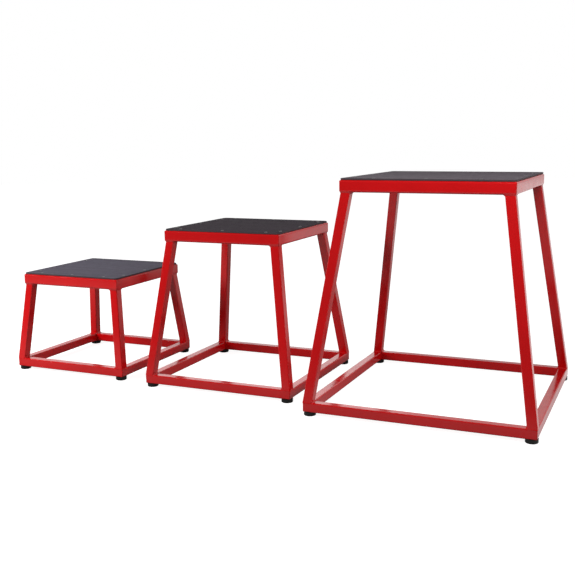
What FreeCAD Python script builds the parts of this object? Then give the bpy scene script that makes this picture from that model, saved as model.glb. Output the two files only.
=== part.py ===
import FreeCAD, Part
import math
import os

import Sketcher

# A set of three plyometric step boxes that stand side by side in a row.
# Each box is a welded, tapered frame of square steel tube with a rubber-covered deck.
# The row runs along X, small box at the left. The front of the boxes faces -Y.
# The origin is on the floor, at the middle of the row.

# Driving sizes, in millimetres
sizes = {
    # from the floor to the top of the mat
    "small_height": 304.8,
    "medium_height": 457.2,
    "large_height": 609.6,
    # outside width of the square base frame
    "small_base": 390,
    "medium_base": 460,
    "large_base": 595,
    # outside width of the square top frame
    "small_top": 345,
    "medium_top": 362,
    "large_top": 445,
    # from the middle deck screw of a side to the screw on either side of it
    "small_screw_pitch": 115,
    "medium_screw_pitch": 135,
    "large_screw_pitch": 135,
    # between the middles of the two bars under the board
    "small_bearer_spacing": 140,
    "medium_bearer_spacing": 150,
    "large_bearer_spacing": 190,
    # floor left between neighbouring bases, and how far the medium box stands back
    "small_gap": 97,
    "large_gap": 71,
    "medium_set_back": 12,
    # square tube of the base frame
    "base_rail_side": 25.4,
    "base_rail_wall": 1.5,
    "base_rail_corner": 3,
    "base_rail_bore_corner": 1.5,
    # square tube of the top frame
    "top_rail_side": 31.75,
    "top_rail_wall": 1.5,
    "top_rail_corner": 3,
    "top_rail_bore_corner": 1.5,
    # square tube of the legs
    "leg_side": 25.4,
    "leg_wall": 1.5,
    "leg_corner": 3,
    "leg_bore_corner": 1.5,
    # fillet welds where a leg meets the rails
    "weld_size": 8,
    # flat bars under the board
    "bearer_width": 30,
    "bearer_thickness": 6,
    # plywood board inside the top frame
    "board_thickness": 15,
    "board_clearance": 0.5,
    # rubber mat over the board and the top frame
    "mat_thickness": 4,
    "mat_set_back": 1.5,
    "mat_corner": 4,
    # screws that hold the mat to the top frame, with their heads just below its surface
    "deck_screw_shank": 4,
    "deck_screw_head": 8.5,
    "deck_screw_head_height": 1.6,
    "deck_screw_length": 14,
    "deck_screw_sink": 0.3,
    "deck_screw_clearance": 0.25,
    # round rubber feet under the corners of the base frame
    "foot_diameter": 32,
    "foot_height": 11,
    # from the outside of the base frame to the middle of a foot
    "foot_inset": 15,
    "foot_rim": 3,
    "foot_recess_depth": 5.5,
    # screws that hold the feet, with their heads in the recess
    "foot_screw_shank": 5,
    "foot_screw_head": 10,
    "foot_screw_head_height": 3.5,
    "foot_screw_length": 15,
    "foot_screw_clearance": 0.3,
    "foot_recess_clearance": 1,
}

RIGHT_ANGLE = 90
FULL_TURN = 360
QUARTERS = range(4)
SIDES = {"front": (0, -1), "right": (1, 0), "rear": (0, 1), "left": (-1, 0)}
CORNERS = {"front_left": (-1, -1), "front_right": (1, -1), "rear_right": (1, 1), "rear_left": (-1, 1)}
SCREWS_OF_A_SIDE = {"left": -1, "middle": 0, "right": 1}
# how a sketch numbers its own axes and the points of a curve
HORIZONTAL_AXIS, VERTICAL_AXIS = -1, -2
START, END, CENTRE = range(1, 4)
ORIGIN = (HORIZONTAL_AXIS, START)

doc = FreeCAD.newDocument("PlyoBoxes")
sheet = doc.addObject("Spreadsheet::Sheet", "Sizes")
for row, (alias, number) in enumerate(sizes.items(), start=1):
    sheet.set(f"A{row}", alias)
    sheet.set(f"B{row}", str(number))
    sheet.setAlias(f"B{row}", alias)
doc.recompute()

nodes = {}


class Size:
    """A length as a number and as the formula of sheet cells that gives it."""

    def __init__(self, number, formula):
        self.number = number
        self.formula = formula

    def __add__(self, other):
        other = as_size(other)
        return Size(self.number + other.number, f"({self.formula} + {other.formula})")

    def __sub__(self, other):
        other = as_size(other)
        return Size(self.number - other.number, f"({self.formula} - {other.formula})")

    def __mul__(self, factor):
        return Size(self.number * factor, f"({self.formula} * {factor})")

    def __truediv__(self, divisor):
        return Size(self.number / divisor, f"({self.formula} / {divisor})")

    def __neg__(self):
        return self * -1


def as_size(value):
    return value if isinstance(value, Size) else Size(value, str(value))


def cell(alias):
    return Size(sizes[alias], f"Sizes.{alias}")


ZERO = as_size(0)

base_rail_side = cell("base_rail_side")
top_rail_side = cell("top_rail_side")
leg_side = cell("leg_side")
mat_thickness = cell("mat_thickness")
board_thickness = cell("board_thickness")
foot_height = cell("foot_height")


class Box:
    """The sizes of one box of the set, and where it stands in the row."""

    def __init__(self, name, x, y):
        self.name = name
        self.x = x
        self.y = y
        self.height = cell(f"{name}_height")
        self.base = cell(f"{name}_base")
        self.top = cell(f"{name}_top")
        self.screw_pitch = cell(f"{name}_screw_pitch")
        self.bearer_spacing = cell(f"{name}_bearer_spacing")
        # middle lines of the tubes and of the feet, measured from the middle of the box
        self.base_line = (self.base - base_rail_side) / 2
        self.top_line = (self.top - top_rail_side) / 2
        self.foot_line = self.base / 2 - cell("foot_inset")
        # inside width of the top frame
        self.opening = self.top - top_rail_side * 2
        # levels above the floor
        self.deck_level = self.height - mat_thickness
        self.leg_foot = foot_height + base_rail_side
        self.leg_head = self.deck_level - top_rail_side
        # the slope of a leg, the same along X and along Y
        self.leg_rise = self.leg_head - self.leg_foot
        self.leg_run = self.base_line - self.top_line


def boxes_in_row():
    small_base = cell("small_base")
    medium_base = cell("medium_base")
    large_base = cell("large_base")
    small_gap = cell("small_gap")
    large_gap = cell("large_gap")
    row_length = small_base + small_gap + medium_base + large_gap + large_base
    small_x = (small_base - row_length) / 2
    medium_x = small_x + (small_base + medium_base) / 2 + small_gap
    large_x = medium_x + (medium_base + large_base) / 2 + large_gap
    return [
        Box("small", small_x, ZERO),
        Box("medium", medium_x, cell("medium_set_back")),
        Box("large", large_x, ZERO),
    ]


# Objects, sketches and features whose sizes follow the sheet

def bind(item, path, size):
    item.setExpression(path, size.formula)


def place(item, x, y, z, turn=0):
    rotation = FreeCAD.Rotation(FreeCAD.Vector(0, 0, 1), turn)
    item.Placement = FreeCAD.Placement(FreeCAD.Vector(x.number, y.number, z.number), rotation)
    bind(item, "Placement.Base.x", x)
    bind(item, "Placement.Base.y", y)
    bind(item, "Placement.Base.z", z)


def new_body(label, group=False):
    body = doc.addObject("PartDesign::Body", label)
    body.Label = label
    body.AllowCompound = group
    return body


def origin_feature(body, role):
    return next(feature for feature in body.Origin.OriginFeatures if feature.Role == role)


def new_sketch(body, name, plane, along=ZERO, above=ZERO):
    """A sketch on a plane of the body's origin, moved along its first axis and above its plane."""
    sketch = body.newObject("Sketcher::SketchObject", f"{body.Name}_{name}")
    sketch.AttachmentSupport = [(origin_feature(body, plane), "")]
    sketch.MapMode = "FlatFace"
    bind(sketch, "AttachmentOffset.Base.x", along)
    bind(sketch, "AttachmentOffset.Base.z", above)
    return sketch


def dimension(sketch, kind, *references, size):
    row = sketch.addConstraint(Sketcher.Constraint(kind, *references, size.number))
    bind(sketch, f"Constraints[{row}]", size)


def locate(sketch, point, x, y):
    """Holds a sketch point at x and y from the sketch's own origin."""
    for kind, axis, size in (("DistanceX", VERTICAL_AXIS, x), ("DistanceY", HORIZONTAL_AXIS, y)):
        if size.number == 0:
            sketch.addConstraint(Sketcher.Constraint("PointOnObject", *point, axis))
        elif size.number > 0:
            dimension(sketch, kind, *ORIGIN, *point, size=size)
        else:
            dimension(sketch, kind, *point, *ORIGIN, size=-size)


def circle(sketch, x, y, diameter):
    middle = FreeCAD.Vector(x.number, y.number, 0)
    ring = sketch.addGeometry(Part.Circle(middle, FreeCAD.Vector(0, 0, 1), diameter.number / 2))
    locate(sketch, (ring, CENTRE), x, y)
    dimension(sketch, "Diameter", ring, size=diameter)


def quarter_arc(start, end):
    """The arc that turns left through a right angle from one point to another."""
    turns_from_level = (end.x - start.x) * (end.y - start.y) > 0
    middle = FreeCAD.Vector(start.x, end.y, 0) if turns_from_level else FreeCAD.Vector(end.x, start.y, 0)
    angle = math.atan2(start.y - middle.y, start.x - middle.x)
    ring = Part.Circle(middle, FreeCAD.Vector(0, 0, 1), start.distanceToPoint(middle))
    return Part.ArcOfCircle(ring, angle, angle + math.pi / 2), turns_from_level


def outline(sketch, corners, rounded=()):
    """A closed outline through located corners; the runs named in rounded are quarter arcs."""
    points = [FreeCAD.Vector(x.number, y.number, 0) for x, y in corners]
    edges = []
    for number, start in enumerate(points):
        end = points[(number + 1) % len(points)]
        if number in rounded:
            arc, turns_from_level = quarter_arc(start, end)
            edge = sketch.addGeometry(arc)
            direction = "Vertical" if turns_from_level else "Horizontal"
            sketch.addConstraint(Sketcher.Constraint(direction, edge, START, edge, CENTRE))
        else:
            edge = sketch.addGeometry(Part.LineSegment(start, end))
        edges.append(edge)
    for number, edge in enumerate(edges):
        sketch.addConstraint(Sketcher.Constraint("Coincident", edges[number - 1], END, edge, START))
        locate(sketch, (edge, START), *corners[number])


def rectangle(sketch, x, y, width, depth):
    left = x - width / 2
    right = x + width / 2
    front = y - depth / 2
    rear = y + depth / 2
    outline(sketch, [(left, front), (right, front), (right, rear), (left, rear)])


def rounded_square(sketch, side, corner):
    """A square about the sketch's origin whose corners are equal arcs."""
    edge = side.number / 2
    flat = edge - corner.number
    upwards = FreeCAD.Vector(0, 0, 1)
    lines = []
    arcs = []
    for quarter in QUARTERS:
        turn = FreeCAD.Rotation(upwards, quarter * RIGHT_ANGLE)
        start = turn.multVec(FreeCAD.Vector(-flat, -edge, 0))
        end = turn.multVec(FreeCAD.Vector(flat, -edge, 0))
        middle = turn.multVec(FreeCAD.Vector(flat, -flat, 0))
        angle = math.radians((quarter - 1) * RIGHT_ANGLE)
        lines.append(sketch.addGeometry(Part.LineSegment(start, end)))
        ring = Part.Circle(middle, upwards, corner.number)
        arcs.append(sketch.addGeometry(Part.ArcOfCircle(ring, angle, angle + math.pi / 2)))
    rules = []
    for quarter in QUARTERS:
        direction = "Vertical" if quarter % 2 else "Horizontal"
        rules.append(Sketcher.Constraint(direction, lines[quarter]))
        rules.append(Sketcher.Constraint("Tangent", lines[quarter], END, arcs[quarter], START))
        rules.append(Sketcher.Constraint("Tangent", arcs[quarter - 1], END, lines[quarter], START))
    for arc in arcs[1:]:
        rules.append(Sketcher.Constraint("Equal", arcs[0], arc))
    rules.append(Sketcher.Constraint("Equal", lines[0], lines[1]))
    rules.append(Sketcher.Constraint("Symmetric", lines[0], START, lines[2], START, *ORIGIN))
    sketch.addConstraint(rules)
    dimension(sketch, "Radius", arcs[0], size=corner)
    dimension(sketch, "DistanceX", lines[3], START, lines[1], START, size=side)


def pad(body, sketch, length, symmetric=False):
    feature = body.newObject("PartDesign::Pad", f"{sketch.Name}_pad")
    feature.Profile = sketch
    feature.SideType = "Symmetric" if symmetric else "One side"
    bind(feature, "Length", length)
    body.Tip = feature
    return feature


def pocket(body, sketch, depth=None, upwards=False, symmetric=False):
    """Cuts a sketch out of the body, right through it unless a depth is given."""
    feature = body.newObject("PartDesign::Pocket", f"{sketch.Name}_pocket")
    feature.Profile = sketch
    feature.SideType = "Symmetric" if symmetric else "One side"
    feature.Reversed = upwards
    if depth is None:
        feature.Type = "ThroughAll"
    else:
        bind(feature, "Length", depth)
    body.Tip = feature
    return feature


def revolve(body, sketch):
    feature = body.newObject("PartDesign::Revolution", f"{sketch.Name}_turned")
    feature.Profile = sketch
    feature.ReferenceAxis = (sketch, ["V_Axis"])
    feature.Angle = FULL_TURN
    body.Tip = feature
    return feature


def repeat_on_sides(body, features):
    """Repeats features made at the front on the other three sides of the box."""
    pattern = body.newObject("PartDesign::PolarPattern", f"{body.Name}_sides")
    pattern.Originals = features
    pattern.Axis = (origin_feature(body, "Z_Axis"), [""])
    pattern.Angle = FULL_TURN
    pattern.Occurrences = len(SIDES)
    body.Tip = pattern
    return pattern


# The pieces of one box

def tube_section(body, tube, plane):
    """The wall of a square tube, drawn across the tube's length."""
    section = new_sketch(body, "section", plane)
    side = cell(f"{tube}_side")
    rounded_square(section, side, cell(f"{tube}_corner"))
    rounded_square(section, side - cell(f"{tube}_wall") * 2, cell(f"{tube}_bore_corner"))
    return section


def mitred_rail(label, tube, length):
    """A square tube along X with both ends mitred, its long side towards -Y."""
    body = new_body(label)
    pad(body, tube_section(body, tube, "YZ_Plane"), length, symmetric=True)
    mitres = new_sketch(body, "mitres", "XY_Plane")
    # each cutting triangle has two equal sides and reaches past the tube by one tube width
    side = cell(f"{tube}_side")
    past_end = length / 2 + side
    beside = side / 2 + side
    inner_end = past_end - beside * 2
    outline(mitres, [(past_end, -beside), (past_end, beside), (inner_end, beside)])
    outline(mitres, [(-past_end, -beside), (-inner_end, beside), (-past_end, beside)])
    pocket(body, mitres, symmetric=True)
    return body


def frame_of_rails(box, tube, width, level, drill):
    """Four mitred rails that make a square frame, each drilled for its screws."""
    tube_side = cell(f"{tube}_side")
    middle_line = (width - tube_side) / 2
    for number, (side, (toward_x, toward_y)) in enumerate(SIDES.items()):
        label = f"{box.name}_{tube}_{side}"
        body = mitred_rail(label, tube, width)
        drill(body)
        x = box.x + middle_line * toward_x
        y = box.y + middle_line * toward_y
        place(body, x, y, level + tube_side / 2, turn=number * RIGHT_ANGLE)
        nodes[label] = (body, 1)


def base_frame(box):
    def drill(body):
        holes = new_sketch(body, "foot_screw_holes", "XY_Plane")
        diameter = cell("foot_screw_shank") + cell("foot_screw_clearance") * 2
        for end in (-1, 1):
            circle(holes, box.foot_line * end, box.base_line - box.foot_line, diameter)
        pocket(body, holes)

    frame_of_rails(box, "base_rail", box.base, foot_height, drill)


def top_frame(box):
    def drill(body):
        holes = new_sketch(body, "deck_screw_holes", "XY_Plane")
        diameter = cell("deck_screw_shank") + cell("deck_screw_clearance") * 2
        for step in SCREWS_OF_A_SIDE.values():
            circle(holes, box.screw_pitch * step, ZERO, diameter)
        pocket(body, holes, upwards=True)

    frame_of_rails(box, "top_rail", box.top, box.leg_head, drill)


def lean(item, box, toward_x, toward_y):
    """Stands a piece of leg tube on its corner and leans it in along the diagonal."""
    middle_line = (box.base_line + box.top_line) / 2
    x = box.x + middle_line * toward_x
    y = box.y + middle_line * toward_y
    place(item, x, y, (box.leg_foot + box.leg_head) / 2)
    angle = math.degrees(math.atan(math.sqrt(2) * box.leg_run.number / box.leg_rise.number))
    item.Placement.Rotation = FreeCAD.Rotation(FreeCAD.Vector(toward_y, -toward_x, 0), angle)
    slope = f"atan(sqrt(2) * {box.leg_run.formula} / {box.leg_rise.formula})"
    bind(item, "Placement.Rotation.Angle", Size(angle, slope))


def leg_stock(label, box, corner, hollow):
    """A leg before its ends are cut level, long enough for both cuts."""
    body = new_body(label)
    if hollow:
        section = tube_section(body, "leg", "XY_Plane")
    else:
        section = new_sketch(body, "section", "XY_Plane")
        rounded_square(section, leg_side, cell("leg_corner"))
    pad(body, section, box.leg_rise + box.leg_run * 2 + leg_side * 2, symmetric=True)
    lean(body, box, *CORNERS[corner])
    return body


def legs(box):
    """Four legs cut level with the top of the base frame and the underside of the top frame."""
    between = doc.addObject("Part::Box", f"{box.name}_between_frames")
    reach = box.base + box.top
    bind(between, "Length", reach)
    bind(between, "Width", reach)
    bind(between, "Height", box.leg_rise)
    place(between, box.x - reach / 2, box.y - reach / 2, box.leg_foot)
    for corner in CORNERS:
        label = f"{box.name}_leg_{corner}"
        leg = doc.addObject("Part::Common", label)
        leg.Label = label
        leg.Base = leg_stock(f"{label}_stock", box, corner, hollow=True)
        leg.Tool = between
        nodes[label] = (leg, 1)


def weld_profile(body, name, middle_line, level, rise):
    """Two wedges on the front rail, one on the inner face of each front leg."""
    sketch = new_sketch(body, name, "XZ_Plane", above=middle_line)
    face = middle_line - leg_side / 2
    toe = face - cell("weld_size")
    for hand in (1, -1):
        corners = [
            (toe * hand, level),
            (middle_line * hand, level),
            (middle_line * hand, level + rise),
            (face * hand, level + rise),
        ]
        outline(sketch, corners)
    width = leg_side - cell("leg_corner") * 2
    return pad(body, sketch, width, symmetric=True)


def weld_beads(box):
    """Fillet welds on the two inner faces of each leg, at its foot and at its head."""
    label = f"{box.name}_weld_beads"
    body = new_body(f"{label}_stock", group=True)
    place(body, box.x, box.y, ZERO)
    size = cell("weld_size")
    at_foot = weld_profile(body, "foot_welds", box.base_line, box.leg_foot, size)
    at_head = weld_profile(body, "head_welds", box.top_line, box.leg_head, -size)
    welded_ends = [at_foot, at_head]
    repeat_on_sides(body, welded_ends)
    cores = doc.addObject("Part::Compound", f"{box.name}_leg_cores")
    cores.Links = [leg_stock(f"{box.name}_core_{corner}", box, corner, hollow=False) for corner in CORNERS]
    beads = doc.addObject("Part::Cut", label)
    beads.Label = label
    beads.Base = body
    beads.Tool = cores
    inner_faces = 2
    nodes[label] = (beads, inner_faces * len(welded_ends) * len(CORNERS))


def deck_bearers(box):
    label = f"{box.name}_deck_bearers"
    body = new_body(label, group=True)
    bars = new_sketch(body, "bars", "XY_Plane")
    hands = (-1, 1)
    for hand in hands:
        rectangle(bars, box.bearer_spacing / 2 * hand, ZERO, cell("bearer_width"), box.opening)
    thickness = cell("bearer_thickness")
    pad(body, bars, thickness)
    place(body, box.x, box.y, box.deck_level - board_thickness - thickness)
    nodes[label] = (body, len(hands))


def deck_board(box):
    label = f"{box.name}_deck_board"
    body = new_body(label)
    sheet_outline = new_sketch(body, "outline", "XY_Plane")
    width = box.opening - cell("board_clearance") * 2
    rectangle(sheet_outline, ZERO, ZERO, width, width)
    pad(body, sheet_outline, board_thickness)
    place(body, box.x, box.y, box.deck_level - board_thickness)
    nodes[label] = (body, 1)


def grip_mat(box):
    label = f"{box.name}_grip_mat"
    body = new_body(label)
    sheet_outline = new_sketch(body, "outline", "XY_Plane")
    rounded_square(sheet_outline, box.top - cell("mat_set_back") * 2, cell("mat_corner"))
    pad(body, sheet_outline, mat_thickness)
    clearance = cell("deck_screw_clearance") * 2
    recesses = new_sketch(body, "recesses", "XY_Plane", above=mat_thickness)
    holes = new_sketch(body, "holes", "XY_Plane", above=mat_thickness)
    for step in SCREWS_OF_A_SIDE.values():
        x = box.screw_pitch * step
        circle(recesses, x, -box.top_line, cell("deck_screw_head") + clearance)
        circle(holes, x, -box.top_line, cell("deck_screw_shank") + clearance)
    depth = cell("deck_screw_sink") + cell("deck_screw_head_height")
    repeat_on_sides(body, [pocket(body, recesses, depth), pocket(body, holes)])
    place(body, box.x, box.y, box.deck_level)
    nodes[label] = (body, 1)


def screw_profile(sketch, head_bottom, head_top, shank_end, head, shank):
    """Half of a screw beside its axis; the shank may point up or down from the head."""
    seat, crown = head_top, head_bottom
    if shank_end.number < head_bottom.number:
        seat, crown = head_bottom, head_top
    outline(
        sketch,
        [(ZERO, shank_end), (shank / 2, shank_end), (shank / 2, seat),
         (head / 2, seat), (head / 2, crown), (ZERO, crown)],
    )


def deck_screws(box):
    label = f"{box.name}_deck_screws"
    body = new_body(label, group=True)
    head_top = box.height - cell("deck_screw_sink")
    head_bottom = head_top - cell("deck_screw_head_height")
    shank_end = head_bottom - cell("deck_screw_length")
    screws = []
    for name, step in SCREWS_OF_A_SIDE.items():
        profile = new_sketch(body, name, "XZ_Plane", along=box.screw_pitch * step, above=box.top_line)
        screw_profile(
            profile, head_bottom, head_top, shank_end, cell("deck_screw_head"), cell("deck_screw_shank")
        )
        screws.append(revolve(body, profile))
    repeat_on_sides(body, screws)
    place(body, box.x, box.y, ZERO)
    nodes[label] = (body, len(screws) * len(SIDES))


def feet(box):
    label = f"{box.name}_feet"
    body = new_body(label, group=True)
    profile = new_sketch(body, "profile", "XZ_Plane", along=box.foot_line, above=box.foot_line)
    radius = cell("foot_diameter") / 2
    rim = cell("foot_rim")
    bore = cell("foot_screw_shank") / 2 + cell("foot_screw_clearance")
    recess = cell("foot_screw_head") / 2 + cell("foot_recess_clearance")
    seat = cell("foot_recess_depth")
    outline(
        profile,
        [(recess, ZERO), (radius - rim, ZERO), (radius, rim), (radius, foot_height),
         (bore, foot_height), (bore, seat), (recess, seat)],
        rounded=(1,),
    )
    repeat_on_sides(body, [revolve(body, profile)])
    place(body, box.x, box.y, ZERO)
    nodes[label] = (body, len(CORNERS))


def foot_screws(box):
    label = f"{box.name}_foot_screws"
    body = new_body(label, group=True)
    profile = new_sketch(body, "profile", "XZ_Plane", along=box.foot_line, above=box.foot_line)
    head_top = cell("foot_recess_depth")
    head_bottom = head_top - cell("foot_screw_head_height")
    shank_end = head_top + cell("foot_screw_length")
    screw_profile(
        profile, head_bottom, head_top, shank_end, cell("foot_screw_head"), cell("foot_screw_shank")
    )
    repeat_on_sides(body, [revolve(body, profile)])
    place(body, box.x, box.y, ZERO)
    nodes[label] = (body, len(CORNERS))


def check_model():
    """Stops if any object failed, a pocket cut nothing, or a piece isn't the solids it should be."""
    for item in doc.Objects:
        if "Invalid" in item.State or "Error" in item.State:
            raise RuntimeError(f"{item.Label} failed: {item.State}")
        if item.TypeId == "PartDesign::Pocket":
            if item.Shape.Volume >= item.BaseFeature.Shape.Volume:
                raise RuntimeError(f"{item.Label} cuts nothing")
    for label, (item, solids) in nodes.items():
        shape = item.Shape
        if shape.isNull() or not shape.isValid():
            raise RuntimeError(f"{label} has no valid shape")
        if len(shape.Solids) != solids:
            raise RuntimeError(f"{label} has {len(shape.Solids)} solids, not {solids}")


def write_parts():
    os.makedirs("parts", exist_ok=True)
    for label, (item, _) in nodes.items():
        item.Shape.exportStep(f"parts/{label}.step")


for box in boxes_in_row():
    base_frame(box)
    legs(box)
    top_frame(box)
    weld_beads(box)
    deck_bearers(box)
    deck_board(box)
    grip_mat(box)
    deck_screws(box)
    feet(box)
    foot_screws(box)
doc.recompute()
check_model()
write_parts()
print(len(nodes), "pieces written")
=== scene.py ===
from math import radians, sin, cos, pi
import bpy
import bmesh
from mathutils import Matrix, Vector


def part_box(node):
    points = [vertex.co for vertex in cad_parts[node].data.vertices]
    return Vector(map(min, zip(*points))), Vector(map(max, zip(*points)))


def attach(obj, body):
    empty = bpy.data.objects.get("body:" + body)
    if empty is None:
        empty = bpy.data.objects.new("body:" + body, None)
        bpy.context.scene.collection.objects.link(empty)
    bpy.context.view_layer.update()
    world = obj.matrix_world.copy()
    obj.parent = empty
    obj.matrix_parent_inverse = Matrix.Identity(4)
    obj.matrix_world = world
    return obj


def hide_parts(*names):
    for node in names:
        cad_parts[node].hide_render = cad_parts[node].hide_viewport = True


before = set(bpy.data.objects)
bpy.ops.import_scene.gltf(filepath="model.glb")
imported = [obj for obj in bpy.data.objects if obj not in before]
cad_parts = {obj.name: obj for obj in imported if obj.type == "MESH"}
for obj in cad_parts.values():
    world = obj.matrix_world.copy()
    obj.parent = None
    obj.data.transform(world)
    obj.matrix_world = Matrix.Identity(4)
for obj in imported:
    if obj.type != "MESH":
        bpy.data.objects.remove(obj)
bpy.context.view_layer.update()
print("frame loaded:", len(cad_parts), "nodes")

boxNames = ("small", "medium", "large")
sideTurns = {"front": 0, "right": 90, "rear": 180, "left": 270}  # degrees round the box from its front
cornerSigns = {"front_left": (-1, -1), "front_right": (1, -1), "rear_right": (1, 1), "rear_left": (-1, 1)}
upAxis = Vector((0, 0, 1))
noiseSpan = (0.3, 0.7)    # most of a noise lies between these
sharpAngle = radians(60)  # edges that turn more than this stay sharp
samePoint = 1e-5          # points closer than this are one
onPlane = 1e-6            # points this close to a cut lie on it


# shader nodes; the owner is a material or the world
def feed(owner, socket, value):
    if isinstance(value, bpy.types.NodeSocket):
        owner.node_tree.links.new(value, socket)
    else:
        socket.default_value = value


def feedNamed(owner, node, **sockets):
    for name, value in sockets.items():
        feed(owner, node.inputs[name.replace("_", " ")], value)


def addNode(owner, kind, settings=None, inOrder=(), **named):
    node = owner.node_tree.nodes.new(kind)
    for name, value in (settings or {}).items():
        setattr(node, name, value)
    for socket, value in zip(node.inputs, inOrder):
        feed(owner, socket, value)
    feedNamed(owner, node, **named)
    return node


def freshNodes(owner, outputKind):
    owner.use_nodes = True
    owner.node_tree.nodes.clear()
    return addNode(owner, outputKind)


# shared by all the finishes
def newFinish(name):
    finish = bpy.data.materials.new(name)
    output = freshNodes(finish, "ShaderNodeOutputMaterial")
    shader = addNode(finish, "ShaderNodeBsdfPrincipled")
    feed(finish, output.inputs[0], shader.outputs[0])
    return finish, shader, addNode(finish, "ShaderNodeTexCoord").outputs["Object"]


def noise(finish, coords, scale=1.0, detail=2.0, roughness=0.5, stretch=None):
    if stretch:
        coords = addNode(finish, "ShaderNodeMapping", Vector=coords, Scale=stretch).outputs[0]
    return addNode(finish, "ShaderNodeTexNoise", Vector=coords, Scale=scale, Detail=detail,
                   Roughness=roughness).outputs["Fac"]


def colourBetween(finish, fac, dark, light, span):
    ramp = addNode(finish, "ShaderNodeValToRGB", Fac=fac)
    for stop, place, colour in zip(ramp.color_ramp.elements, span, (dark, light)):
        stop.position = place
        stop.color = (*colour, 1)
    return ramp.outputs["Color"]


def valueBetween(finish, fac, low, high):
    return addNode(finish, "ShaderNodeMapRange", Value=fac, From_Min=noiseSpan[0], From_Max=noiseSpan[1],
                   To_Min=low, To_Max=high).outputs[0]


# colour, roughness and relief of a finish, each from its own pattern
def dress(finish, shader, look, tone, rough, relief):
    span = look.get("toneSpan", noiseSpan)
    raised = addNode(finish, "ShaderNodeBump", Height=relief, Strength=look["bumpStrength"],
                     Distance=look["bumpDepth"])
    feedNamed(finish, shader, Base_Color=colourBetween(finish, tone, look["dark"], look["light"], span),
              Roughness=valueBetween(finish, rough, *look["roughRange"]), Normal=raised.outputs[0],
              Specular_IOR_Level=look["specular"], Metallic=look.get("metallic", 0))


# a finish made of plain noises; uses names those for its colour, roughness and relief
def plainFinish(name, look):
    finish, shader, coords = newFinish(name)
    noises = {pattern: noise(finish, coords, **spec) for pattern, spec in look["noises"].items()}
    dress(finish, shader, look, *(noises[pattern] for pattern in look["uses"]))
    return finish


# gloss red powder coat on all the steel tube
redCoat = {
    "dark": (0.52, 0.002, 0.003), "light": (0.60, 0.003, 0.005), "roughRange": (0.13, 0.22), "specular": 0.36,
    "noises": {"drift": {"scale": 5.0, "detail": 3},    # slow change of colour along a tube
               "gloss": {"scale": 30.0, "detail": 4},
               "peel": {"scale": 650.0, "detail": 1}},  # orange peel
    "uses": ("drift", "gloss", "peel"), "bumpDepth": 0.0002, "bumpStrength": 0.03,
}
coatFinish = plainFinish("redPowderCoat", redCoat)


# non-slip mats: the same rubber, each box's mat given its own tone as painted light, lighter or darker for
# the sheen and lamp light that fall on it at its height
matLook = {
    "tones": {"small": {"dark": (0.090, 0.083, 0.108), "light": (0.138, 0.127, 0.164)},
              "medium": {"dark": (0.027, 0.020, 0.026), "light": (0.052, 0.038, 0.050)},
              "large": {"dark": (0.096, 0.080, 0.094), "light": (0.196, 0.166, 0.190)}},
    "toneSpan": (0.5, 0.9), "roughRange": (0.72, 0.9), "specular": 0.08,
    "mottle": {"scale": 55.0, "detail": 6, "roughness": 0.7},
    "streak": {"stretch": (4.0, 60.0, 1.0), "detail": 4}, "streakShare": 0.4,
    "pebbleScale": 620.0, "bumpDepth": 0.0006, "bumpStrength": 0.6,
}


def makeMatFinish(box):
    finish, shader, coords = newFinish(box + "GripRubber")
    mottle = noise(finish, coords, **matLook["mottle"])
    streak = noise(finish, coords, **matLook["streak"])
    tone = addNode(finish, "ShaderNodeMath", {"operation": "MULTIPLY_ADD"},
                   (streak, matLook["streakShare"], mottle))
    pebble = addNode(finish, "ShaderNodeTexVoronoi", Vector=coords, Scale=matLook["pebbleScale"])
    # each box's mat takes its own painted-light tone
    look = matLook | matLook["tones"][box]
    dress(finish, shader, look, tone.outputs[0], mottle, pebble.outputs["Distance"])
    return finish


matFinishes = {box: makeMatFinish(box) for box in boxNames}


# painted shade on the side walls of the mats: one dark rubber colour for the shade along their edges
matEdgeShade = {
    "dark": (0.044, 0.033, 0.037), "light": (0.082, 0.063, 0.070), "roughRange": (0.6, 0.8), "specular": 0.1,
    "noises": {"grain": {"scale": 900.0, "detail": 4, "roughness": 0.6}},
    "uses": ("grain", "grain", "grain"), "bumpDepth": 0.0003, "bumpStrength": 0.4,
}
edgeShadeFinish = plainFinish("gripRubberEdgeShade", matEdgeShade)


# black moulded rubber of the feet
footRubber = {
    "dark": (0.005, 0.005, 0.005), "light": (0.012, 0.012, 0.012), "roughRange": (0.45, 0.6), "specular": 0.3,
    "noises": {"dust": {"scale": 90.0, "detail": 5, "roughness": 0.65}, "skin": {"scale": 1400.0}},
    "uses": ("dust", "dust", "skin"), "bumpDepth": 0.0002, "bumpStrength": 0.25,
}
footFinish = plainFinish("footRubber", footRubber)


# bright zinc plate on the screws
zincPlate = {
    "dark": (0.17, 0.17, 0.18), "light": (0.30, 0.30, 0.29), "roughRange": (0.25, 0.42), "specular": 0.5,
    "metallic": 1.0, "noises": {"cloud": {"scale": 500.0, "detail": 4}, "grain": {"scale": 2600.0}},
    "uses": ("cloud", "cloud", "grain"), "bumpDepth": 0.0001, "bumpStrength": 0.2,
}
zincFinish = plainFinish("zincPlate", zincPlate)


# plywood of the boards, seen only from below
plywood = {
    "dark": (0.36, 0.23, 0.12), "light": (0.60, 0.43, 0.25), "roughRange": (0.55, 0.75), "specular": 0.5,
    "figure": {"stretch": (1.5, 16.0, 1.0), "detail": 5, "roughness": 0.6},
    "grain": {"stretch": (5.0, 380.0, 700.0), "detail": 5, "roughness": 0.6},  # long along X, plies across Z
    "grainShare": 0.5, "bumpDepth": 0.0002, "bumpStrength": 0.3,
}


def makePlywood():
    finish, shader, coords = newFinish("birchPlywood")
    figure, grain = (noise(finish, coords, **plywood[pattern]) for pattern in ("figure", "grain"))
    tone = addNode(finish, "ShaderNodeMix", {"data_type": "FLOAT"}, Factor=plywood["grainShare"], A=figure,
                   B=grain)
    dress(finish, shader, plywood, tone.outputs[0], grain, grain)
    return finish


plyFinish = makePlywood()
print("finishes ready:", len(bpy.data.materials))


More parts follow.
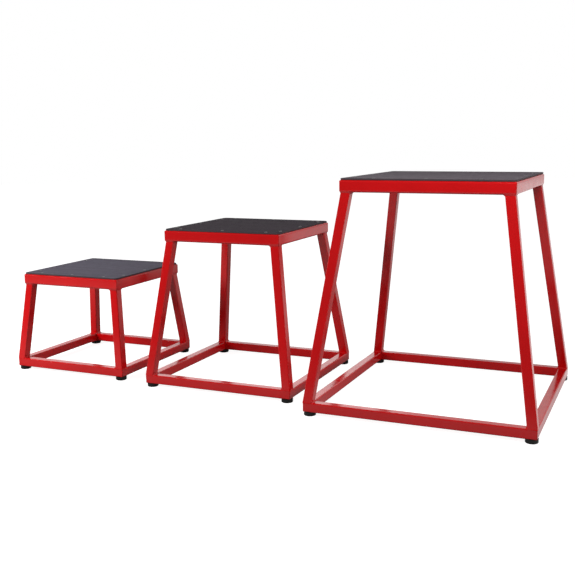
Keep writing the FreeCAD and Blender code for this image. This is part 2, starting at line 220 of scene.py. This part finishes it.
# a mesh becomes a piece that moves with its box and stands for a CAD node
def finishPiece(bm, box, node, finish, even=True):
    for face in bm.faces:
        face.smooth = True
    for edge in bm.edges:
        edge.smooth = edge.calc_face_angle(0) < sharpAngle
    first, *rest = node.split("_")
    name = first + "".join(word.capitalize() for word in rest)
    mesh = bpy.data.meshes.new(name)
    bm.to_mesh(mesh)
    bm.free()
    piece = bpy.data.objects.new(name, mesh)
    bpy.context.scene.collection.objects.link(piece)
    mesh.materials.append(finish)
    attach(piece, box + "_box")
    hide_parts(node)
    if even:
        piece.modifiers.new("evenNormals", "WEIGHTED_NORMAL").keep_sharp = True
    return piece


# lowest and highest corner of each separate solid in a CAD node
def solidBoxes(node):
    bm = bmesh.new()
    bm.from_mesh(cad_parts[node].data)
    bmesh.ops.remove_doubles(bm, verts=bm.verts, dist=samePoint)
    waiting = set(bm.verts)
    found = []
    while waiting:
        reached = [waiting.pop()]
        for vert in reached:
            near = {edge.other_vert(vert) for edge in vert.link_edges} & waiting
            waiting -= near
            reached.extend(near)
        spans = [[vert.co[axis] for vert in reached] for axis in range(3)]
        found.append((Vector([min(span) for span in spans]), Vector([max(span) for span in spans])))
    bm.free()
    return sorted(found, key=lambda corners: tuple(corners[0]))


def middleAt(low, high, level):
    return Vector(((low.x + high.x) / 2, (low.y + high.y) / 2, level))


def tubeSizes(low, high):
    return {"width": high.x - low.x, "under": low.z, "over": high.z, "tube": high.z - low.z}


# what the frame says of one box: its middle, and the widths and levels of its tubes
def measureBox(box):
    low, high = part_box(box + "_base_rail_front")
    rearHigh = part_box(box + "_base_rail_rear")[1]
    return {"middle": middleAt(low, rearHigh, 0), "base": tubeSizes(low, high),
            "top": tubeSizes(*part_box(box + "_top_rail_front"))}


# edges at some points, each once
def edgesOf(verts):
    return list(dict.fromkeys(edge for vert in verts for edge in vert.link_edges))


def onlyVerts(parts):
    return [part for part in parts if isinstance(part, bmesh.types.BMVert)]


# a bar about the origin, rounded along its long edges
def makeBar(size, rounding, segments):
    bm = bmesh.new()
    bmesh.ops.create_cube(bm, size=1)
    bmesh.ops.scale(bm, vec=size, verts=bm.verts)
    axis = size.index(max(size))
    longEdges = [edge for edge in bm.edges if edge.verts[0].co[axis] != edge.verts[1].co[axis]]
    bmesh.ops.bevel(bm, geom=longEdges, offset=rounding, offset_type="OFFSET", segments=segments, profile=0.5,
                    affect="EDGES", clamp_overlap=False, material=-1)
    return bm


def cutAway(bm, point, normal):
    parts = bm.verts[:] + bm.edges[:] + bm.faces[:]
    bmesh.ops.bisect_plane(bm, geom=parts, dist=onPlane, plane_co=point, plane_no=normal, clear_outer=True)
    rim = [edge for edge in bm.edges if edge.is_boundary]
    return bmesh.ops.edgeloop_fill(bm, edges=rim)["faces"]


# adds a short end that narrows, for the fine line at a weld
def narrowEnd(bm, faces, reach, factor):
    centre = faces[0].calc_center_bounds()
    moved = onlyVerts(bmesh.ops.extrude_face_region(bm, geom=faces)["geom"])
    bmesh.ops.scale(bm, vec=(factor, factor, factor), verts=moved, space=Matrix.Translation(-centre))
    bmesh.ops.translate(bm, verts=moved, vec=reach)
    bmesh.ops.delete(bm, geom=faces, context="FACES_ONLY")


# welded square frames of mitred tube
rails = {"edge": {"base": 0.0032, "top": 0.006}, "segments": 6, "corner": {"base": 0.0035, "top": 0.004},
         "grindSteps": 5, "seam": 0.0003}


# a front rail about the middle of its box: a bar with its outer corners ground round and both ends mitred
def makeRail(sizes, level):
    width, tube = sizes["width"], sizes["tube"]
    bm = makeBar((width, tube, tube), rails["edge"][level], rails["segments"])
    bmesh.ops.translate(bm, verts=bm.verts, vec=(0, (tube - width) / 2, sizes["under"] + tube / 2))
    radius, seam = rails["corner"][level], rails["seam"]
    inner = width / 2 - radius
    for reach in (-1, 1):
        for step in range(1, rails["grindSteps"] + 1):
            angle = pi / 4 * step / rails["grindSteps"]
            normal = Vector((reach * sin(angle), -cos(angle), 0))
            cutAway(bm, Vector((reach * inner, -inner, 0)) + normal * radius, normal)
        out = Vector((reach, 1, 0)).normalized()
        narrowEnd(bm, cutAway(bm, -out * seam, out), out * seam, 1 - 2 * seam / tube)
    bmesh.ops.recalc_face_normals(bm, faces=bm.faces)
    return bm


def makeFrame(box, level, spec):
    for side, turn in sideTurns.items():
        rail = makeRail(spec[level], level)
        bmesh.ops.rotate(rail, matrix=Matrix.Rotation(radians(turn), 3, "Z"), verts=rail.verts)
        bmesh.ops.translate(rail, verts=rail.verts, vec=spec["middle"])
        finishPiece(rail, box, f"{box}_{level}_rail_{side}", coatFinish)


# leaning legs, cut level at both ends
legs = {"side": 0.0254, "edge": 0.003, "segments": 5, "spare": 0.1}  # spare is the length that the cuts take


def legLean(spec, signX, signY):
    foot = (spec["base"]["width"] - spec["base"]["tube"]) / 2
    head = (spec["top"]["width"] - spec["top"]["tube"]) / 2
    start = Vector((foot * signX, foot * signY, spec["base"]["over"]))
    end = Vector((head * signX, head * signY, spec["top"]["under"]))
    return start, end, upAxis.rotation_difference(end - start).to_matrix()


def makeLegs(box, spec):
    for corner, (signX, signY) in cornerSigns.items():
        start, end, lean = legLean(spec, signX, signY)
        length = (end - start).length + legs["spare"]
        bm = makeBar((legs["side"], legs["side"], length), legs["edge"], legs["segments"])
        bmesh.ops.transform(bm, matrix=Matrix.Translation((start + end) / 2) @ lean.to_4x4(), verts=bm.verts)
        cutAway(bm, end, upAxis)
        cutAway(bm, start, -upAxis)
        bmesh.ops.translate(bm, verts=bm.verts, vec=spec["middle"])
        finishPiece(bm, box, f"{box}_leg_{corner}", coatFinish)


# welds all round both ends of a leg, wide on the flat of the rails and thin on the outer ledge
welds = {"thin": 0.0016, "lap": 0.0003, "wideShare": 0.6, "fade": (0.8, 0.99),
         "points": 192, "ripples": 48, "rippleDepth": 0.05,
         "bury": 0.0008, "tuck": 0.0002,  # how far its hidden edges lie inside the tubes
         "dropLimit": 0.95,               # no lower on a rail's rounding than this share of its radius
         "profile": ((0, 1), (0.2, 0.72), (0.43, 0.43), (0.72, 0.2), (1, 0))}  # out and up, in weld sizes


# a point of the leg's outline, and which way its face looks there
def outlinePoint(number):
    flat = legs["side"] - 2 * legs["edge"]
    quarterLength = flat + legs["edge"] * pi / 2
    quarter, rest = divmod(number * 4 * quarterLength / welds["points"], quarterLength)
    if rest < flat:
        point, facing = Vector((rest - flat / 2, -legs["side"] / 2, 0)), Vector((0, -1, 0))
    else:
        angle = (rest - flat) / legs["edge"]
        facing = Vector((sin(angle), -cos(angle), 0))
        point = Vector((flat / 2, -flat / 2, 0)) + facing * legs["edge"]
    turn = Matrix.Rotation(quarter * pi / 2, 3, "Z")
    return turn @ point, turn @ facing


# the same where a leaning leg is cut level
def levelPoint(number, lean):
    point, facing = (lean @ part for part in outlinePoint(number))
    axis = lean @ upAxis
    return point - axis * (point.z / axis.z), Vector((facing.x, facing.y, 0)).normalized()


# how far the rounded edge of a rail has dropped below its flat face
def ledgeDrop(place, halfWidth, edge):
    past = max(abs(place.x), abs(place.y)) - (halfWidth - edge)
    past = min(max(past, 0), welds["dropLimit"] * edge)
    return edge - (edge ** 2 - past ** 2) ** 0.5


# size of a weld at a point: it fades from the flat of the rails to the ledge, and is rippled
def weldSize(number, facing, signs, wide, thin):
    onFlat = max(-facing.x * signs[0], -facing.y * signs[1])
    low, high = welds["fade"]
    share = min(max((onFlat - low) / (high - low), 0), 1)
    size = thin + (wide - thin) * share * share * (3 - 2 * share)
    return size * (1 + welds["rippleDepth"] * sin(2 * pi * welds["ripples"] * number / welds["points"]))


def addRing(bm, places):
    ring = bmesh.ops.create_circle(bm, segments=len(places), radius=1)["verts"]
    for vert, place in zip(ring, places):
        vert.co = place
    return edgesOf(ring)


def addWeld(bm, end, lean, rise, signs, wide, rail, edge):
    climb = rise * (lean @ upAxis) / (lean @ upAxis).z
    thin = min(welds["thin"], (rail["tube"] - legs["side"]) / 2 + welds["lap"])
    outline = [levelPoint(number, lean) for number in range(welds["points"])]
    sizes = [weldSize(number, facing, signs, wide, thin) for number, (_, facing) in enumerate(outline)]
    loops = []
    for out, up in welds["profile"]:
        tuck = 0 if out else welds["tuck"]
        places = [end + point + climb * (up * size) + facing * (out * size - tuck)
                  for (point, facing), size in zip(outline, sizes)]
        for place in places if up == 0 else ():
            place.z -= rise * ledgeDrop(place, rail["width"] / 2, edge)
        loops.append(addRing(bm, places))
    below = upAxis * rise * welds["bury"]
    loops.append(addRing(bm, [end + point - facing * welds["bury"] - below for point, facing in outline]))
    for number, loop in enumerate(loops):
        bmesh.ops.bridge_loops(bm, edges=loops[number - 1] + loop)


def makeWelds(box, spec):
    node = box + "_weld_beads"
    low, high = solidBoxes(node)[0]
    wide = (high.z - low.z) * welds["wideShare"]
    bm = bmesh.new()
    for signs in cornerSigns.values():
        start, end, lean = legLean(spec, *signs)
        addWeld(bm, start, lean, 1, signs, wide, spec["base"], rails["edge"]["base"])
        addWeld(bm, end, lean, -1, signs, wide, spec["top"], rails["edge"]["top"])
    bmesh.ops.recalc_face_normals(bm, faces=bm.faces)
    bmesh.ops.translate(bm, verts=bm.verts, vec=spec["middle"])
    finishPiece(bm, box, node, coatFinish, even=False)


# carries a rim through radii and levels about a centre, and closes its end
def closeRim(bm, edges, centre, start, profile):
    radius, level = start
    for newRadius, newLevel in profile:
        factor = newRadius / radius
        grown = bmesh.ops.extrude_edge_only(bm, edges=edges)["geom"]
        moved = onlyVerts(grown)
        bmesh.ops.scale(bm, vec=(factor, factor, 1), verts=moved, space=Matrix.Translation(-centre))
        bmesh.ops.translate(bm, verts=moved, vec=(0, 0, newLevel - level))
        edges = [part for part in grown if isinstance(part, bmesh.types.BMEdge) and part.is_boundary]
        radius, level = newRadius, newLevel
    bmesh.ops.edgeloop_fill(bm, edges=edges)


# rubber mats, drawn down a little at each screw
mats = {"edge": 0.0008, "edgeSteps": 3, "corner": 0.01, "cornerSegments": 5, "ringSegments": 24,
        "dimple": 0.0095, "dimpleSteps": ((0.8, 0.0001), (0.62, 0.0004), (0.5, 0.0006)), "recess": 0.0019,
        "edgeShadeBelow": 0.8}  # faces that look up less than this take the painted edge shade


def makeMat(box):
    node = box + "_grip_mat"
    low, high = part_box(node)
    centre = middleAt(low, high, high.z)
    half = (high.x - low.x) / 2
    flat = half - mats["edge"]
    bm = bmesh.new()
    bmesh.ops.create_grid(bm, x_segments=1, y_segments=1, size=flat, matrix=Matrix.Translation(centre))
    bmesh.ops.bevel(bm, geom=bm.verts[:], offset=mats["corner"], offset_type="OFFSET",
                    segments=mats["cornerSegments"], profile=0.5, affect="VERTICES", clamp_overlap=True,
                    material=-1)
    bmesh.ops.delete(bm, geom=bm.faces[:], context="FACES_ONLY")
    border = bm.edges[:]
    rings = []
    for headLow, headHigh in solidBoxes(box + "_deck_screws"):
        spot = middleAt(headLow, headHigh, high.z)
        ring = bmesh.ops.create_circle(bm, segments=mats["ringSegments"], radius=mats["dimple"],
                                       matrix=Matrix.Translation(spot))["verts"]
        rings.append((spot, edgesOf(ring)))
    loops = border + [edge for _, edges in rings for edge in edges]
    bmesh.ops.triangle_fill(bm, use_beauty=True, edges=loops, normal=upAxis)
    dimple = [(mats["dimple"] * share, high.z - depth) for share, depth in mats["dimpleSteps"]]
    dimple.append((dimple[-1][0], high.z - mats["recess"]))
    for spot, edges in rings:
        closeRim(bm, edges, spot, (mats["dimple"], high.z), dimple)
    angles = [pi / 2 * step / mats["edgeSteps"] for step in range(1, mats["edgeSteps"] + 1)]
    rounding = [(flat + mats["edge"] * sin(angle), high.z - mats["edge"] * (1 - cos(angle)))
                for angle in angles]
    closeRim(bm, border, centre, (flat, high.z), rounding + [(half, low.z)])
    bmesh.ops.recalc_face_normals(bm, faces=bm.faces)
    piece = finishPiece(bm, box, node, matFinishes[box])
    # the side walls of the mat take the painted edge shade
    piece.data.materials.append(edgeShadeFinish)
    for polygon in piece.data.polygons:
        polygon.material_index = 1 if polygon.normal.z < mats["edgeShadeBelow"] else 0


# cross-recessed screws, all of one node in one mesh; a deck screw's domed crown stands above the mat
screws = {
    "kinds": {"deck_screws": {"headHeight": 0.0016, "shank": 0.002, "proud": 0.0009, "pointsUp": False},
              "foot_screws": {"headHeight": 0.0035, "shank": 0.0025, "proud": 0, "pointsUp": True}},
    "recess": 0.55, "recessCells": 3, "recessDepth": 0.0011,       # recess and flat are shares of the head
    "flat": 0.7, "dome": 0.0005, "domeSteps": ((0.9, 0.5), (1, 1.3)),  # out in heads, down in domes
    "point": 0.3, "pointLength": 2,                                # in shank radii
}


def addScrew(bm, crown, rise, seat, tip, headRadius, shankRadius):
    half, cells = headRadius * screws["recess"], screws["recessCells"]
    made = bmesh.ops.create_grid(bm, x_segments=cells, y_segments=cells, size=half,
                                 matrix=Matrix.Translation(crown))["verts"]
    cross = []
    for face in dict.fromkeys(face for vert in made for face in vert.link_faces):
        away = face.calc_center_median() - crown
        if min(abs(away.x), abs(away.y)) < half / cells:  # the middle row and the middle column
            cross.append(face)
    sunk = onlyVerts(bmesh.ops.extrude_face_region(bm, geom=cross)["geom"])
    bmesh.ops.translate(bm, verts=sunk, vec=(0, 0, -rise * screws["recessDepth"]))
    bmesh.ops.delete(bm, geom=cross, context="FACES")
    rim = [edge for edge in edgesOf(vert for vert in made if vert.is_valid) if edge.is_boundary]
    split = onlyVerts(bmesh.ops.subdivide_edges(bm, edges=rim, cuts=1)["geom"])
    edges = [edge for edge in edgesOf(split) if edge.is_boundary]
    for vert in dict.fromkeys(vert for edge in edges for vert in edge.verts):
        away = Vector((vert.co.x - crown.x, vert.co.y - crown.y, 0))
        vert.co = crown + away.normalized() * headRadius * screws["flat"]
    profile = [(headRadius * out, crown.z - rise * screws["dome"] * down)
               for out, down in screws["domeSteps"]]
    profile += [(headRadius, seat), (shankRadius, seat),
                (shankRadius, tip + rise * shankRadius * screws["pointLength"]),
                (shankRadius * screws["point"], tip)]
    closeRim(bm, edges, crown, (headRadius * screws["flat"], crown.z), profile)


def makeScrews(box):
    for kind, spec in screws["kinds"].items():
        node = f"{box}_{kind}"
        rise = -1 if spec["pointsUp"] else 1
        bm = bmesh.new()
        for low, high in solidBoxes(node):
            top, tip = (low.z, high.z) if spec["pointsUp"] else (high.z, low.z)
            crown = middleAt(low, high, top + rise * spec["proud"])
            seat = top - rise * spec["headHeight"]
            addScrew(bm, crown, rise, seat, tip, (high.x - low.x) / 2, spec["shank"])
        bmesh.ops.recalc_face_normals(bm, faces=bm.faces)
        finishPiece(bm, box, node, zincFinish)


# moulded feet with a recess for the screw
feet = {"segments": 40, "rim": 0.003, "rimSteps": 5, "bore": 0.0028,
        "recess": 0.006, "recessDepth": 0.0055, "recessEdge": 0.0004,
        "lip": ((0.0004, 0.0024), (0, 0.00192), (0, 0.00036), (0.00036, 0))}  # inward and down from the top


def makeFeet(box):
    node = box + "_feet"
    rim, recess, deep, edge = feet["rim"], feet["recess"], feet["recessDepth"], feet["recessEdge"]
    angles = [pi / 2 * step / feet["rimSteps"] for step in range(feet["rimSteps"] + 1)]
    bm = bmesh.new()
    for low, high in solidBoxes(node):
        spot = middleAt(low, high, low.z)
        radius, tall = (high.x - low.x) / 2, high.z - low.z
        outline = [(feet["bore"], tall), (feet["bore"], deep), (recess, deep), (recess, edge),
                   (recess + edge, 0)]
        outline += [(radius - rim + rim * sin(angle), rim - rim * cos(angle)) for angle in angles]
        outline += [(radius - inward, tall - down) for inward, down in feet["lip"]]
        verts = [bm.verts.new(spot + Vector((out, 0, level))) for out, level in outline]
        edges = [bm.edges.new((verts[number - 1], verts[number])) for number in range(len(verts))]
        bmesh.ops.spin(bm, geom=verts + edges, cent=spot, axis=upAxis, angle=2 * pi, steps=feet["segments"],
                       use_merge=True)
    bmesh.ops.remove_doubles(bm, verts=bm.verts, dist=samePoint)
    bmesh.ops.recalc_face_normals(bm, faces=bm.faces)
    finishPiece(bm, box, node, footFinish)


for box in boxNames:
    spec = measureBox(box)
    makeFrame(box, "base", spec)
    makeFrame(box, "top", spec)
    makeLegs(box, spec)
    makeWelds(box, spec)
    makeMat(box)
    makeScrews(box)
    makeFeet(box)
    for node, finish in ((box + "_deck_board", plyFinish), (box + "_deck_bearers", coatFinish)):
        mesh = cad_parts[node].data
        mesh.materials.clear()
        mesh.materials.append(finish)
    print(box, "box dressed")

# white paper floor that keeps a faint shadow, soft lamps in front and a bright strip behind
studio = {
    "floorSize": 12.0, "floorSegments": 96, "floorBounce": 0.22, "floorShade": 0.6, "floorGlow": 0.88,
    # places along an axis and how bright the floor looks there in the gloss: painted shade, darker under and
    # between the boxes and far in front
    "mirrorFloor": {"Y": ((-2.6, 0.2), (-0.9, 1.0), (-0.3, 0.8), (0.0, 0.3), (1.3, 0.35), (2.2, 1.0)),
                    "X": ((0.79, 0.0), (0.81, 1.0))},
    # the same for the room, from its front to the backdrop and from low to high
    "mirrorRoom": {"Y": ((0.1, 0.27), (0.75, 1.0)), "Z": ((0.22, 0.65), (0.32, 1.0))},
    "sky": 0.25, "shadowReach": 0.12,
    "lamps": {
        "leftSoftbox": {"place": (-1.7, -1.25, 1.0), "aim": (-0.3, -0.1, 0.25), "size": (0.9, 0.9),
                        "power": 38.5, "mirrored": False},
        "rightSoftbox": {"place": (0.85, -0.85, 1.15), "aim": (0.5, -0.15, 0.75), "size": (0.6, 0.6),
                         "power": 7.0, "mirrored": False},
        "sideSoftbox": {"place": (4.65, -0.1, 0.75), "aim": (0.2, 0.0, 0.3), "size": (1.6, 1.4),
                        "power": 66.0, "mirrored": False},
        "backStrip": {"place": (-2.3, 3.2, 1.5), "aim": (-0.3, 0.0, 0.3), "size": (3.4, 1.1),
                      "power": 11.0, "mirrored": True},
    },
}


# one shader that gives the light, and two that are seen: straight or through glass, and in gloss
def byRay(owner, output, light, straight, mirrored):
    path = addNode(owner, "ShaderNodeLightPath").outputs
    seen = path["Is Camera Ray"]
    for name in ("Is Glossy Ray", "Is Transmission Ray"):
        seen = addNode(owner, "ShaderNodeMath", {"operation": "MAXIMUM"}, (seen, path[name])).outputs[0]
    background = addNode(owner, "ShaderNodeMixShader",
                         inOrder=(path["Is Glossy Ray"], straight.outputs[0], mirrored.outputs[0]))
    whole = addNode(owner, "ShaderNodeMixShader", inOrder=(seen, light.outputs[0], background.outputs[0]))
    feed(owner, output.inputs[0], whole.outputs[0])


# a grey that follows a list of places along an axis and how bright it is there
def alongAxis(owner, space, axis, stops):
    coords = addNode(owner, "ShaderNodeTexCoord").outputs[space]
    place = addNode(owner, "ShaderNodeSeparateXYZ", Vector=coords).outputs[axis]
    near, far = stops[0][0], stops[-1][0]
    share = addNode(owner, "ShaderNodeMapRange", Value=place, From_Min=near, From_Max=far).outputs[0]
    ramp = addNode(owner, "ShaderNodeValToRGB", Fac=share)
    for _ in stops[2:]:
        ramp.color_ramp.elements.new(0.5)  # its place is set below
    for stop, (place, grey) in zip(ramp.color_ramp.elements, stops):
        stop.position = (place - near) / (far - near)
        stop.color = (grey, grey, grey, 1)
    return ramp.outputs["Color"]


# two such greys, along two axes, in one
def alongBoth(owner, space, operation, ramps):
    greys = [alongAxis(owner, space, axis, stops) for axis, stops in ramps.items()]
    return addNode(owner, "ShaderNodeVectorMath", {"operation": operation}, greys).outputs[0]


def makeFloor():
    bm = bmesh.new()
    bmesh.ops.create_circle(bm, cap_ends=True, segments=studio["floorSegments"], radius=studio["floorSize"])
    mesh = bpy.data.meshes.new("studioFloor")
    bm.to_mesh(mesh)
    bm.free()
    floor = bpy.data.objects.new("studioFloor", mesh)
    bpy.context.scene.collection.objects.link(floor)
    paper = bpy.data.materials.new("studioPaper")
    output = freshNodes(paper, "ShaderNodeOutputMaterial")
    bounce, shaded = (addNode(paper, "ShaderNodeBsdfDiffuse", Color=(studio[grey],) * 3 + (1,))
                      for grey in ("floorBounce", "floorShade"))
    glow = addNode(paper, "ShaderNodeEmission", Strength=studio["floorGlow"])
    white = addNode(paper, "ShaderNodeAddShader", inOrder=(shaded.outputs[0], glow.outputs[0]))
    # the floor seen in the gloss is painted: shade under and between the boxes, and a painted contact shadow
    # close to them
    lit = alongBoth(paper, "Object", "MAXIMUM", studio["mirrorFloor"])
    shadow = addNode(paper, "ShaderNodeAmbientOcclusion", Color=lit, Distance=studio["shadowReach"])
    mirrored = addNode(paper, "ShaderNodeEmission", Color=shadow.outputs["Color"])
    byRay(paper, output, bounce, white, mirrored)
    mesh.materials.append(paper)


def makeWorld():
    world = bpy.data.worlds.new("studioWorld")
    bpy.context.scene.world = world
    output = freshNodes(world, "ShaderNodeOutputWorld")
    white = (1, 1, 1, 1)
    sky = addNode(world, "ShaderNodeBackground", Color=white, Strength=studio["sky"])
    backdrop = addNode(world, "ShaderNodeBackground", Color=white)
    lit = alongBoth(world, "Generated", "MULTIPLY", studio["mirrorRoom"])
    byRay(world, output, sky, backdrop, addNode(world, "ShaderNodeBackground", Color=lit))


def makeLamps():
    for name, spec in studio["lamps"].items():
        lamp = bpy.data.lights.new(name, "AREA")
        lamp.shape = "RECTANGLE"
        lamp.size, lamp.size_y = spec["size"]
        lamp.energy = spec["power"]
        holder = bpy.data.objects.new(name, lamp)
        holder.location = spec["place"]
        holder.rotation_euler = (Vector(spec["aim"]) - holder.location).to_track_quat("-Z", "Y").to_euler()
        holder.visible_camera = False
        holder.visible_glossy = spec["mirrored"]
        bpy.context.scene.collection.objects.link(holder)


makeFloor()
makeWorld()
makeLamps()
print("studio lit")

# the photograph's view
view = {"place": (1.0749, -2.2629, 0.7158), "heading": 22.921, "pitch": -8.943, "roll": -0.583,
        "focalPixels": 861.99, "imageHeight": 584, "shift": (-0.0427, -0.0351), "sensor": 36.0}


def makeCamera():
    lens = bpy.data.cameras.new("photoCamera")
    lens.sensor_width = view["sensor"]
    lens.lens = view["focalPixels"] * view["sensor"] / view["imageHeight"]
    lens.shift_x, lens.shift_y = view["shift"]
    camera = bpy.data.objects.new("photoCamera", lens)
    turns = ((view["heading"], "Z"), (90 + view["pitch"], "X"), (view["roll"], "Z"))
    placed = Matrix.Translation(view["place"])
    for angle, axis in turns:
        placed = placed @ Matrix.Rotation(radians(angle), 4, axis)
    camera.matrix_world = placed
    bpy.context.scene.collection.objects.link(camera)
    bpy.context.scene.camera = camera


makeCamera()
bpy.context.scene.view_settings.view_transform = "Standard"
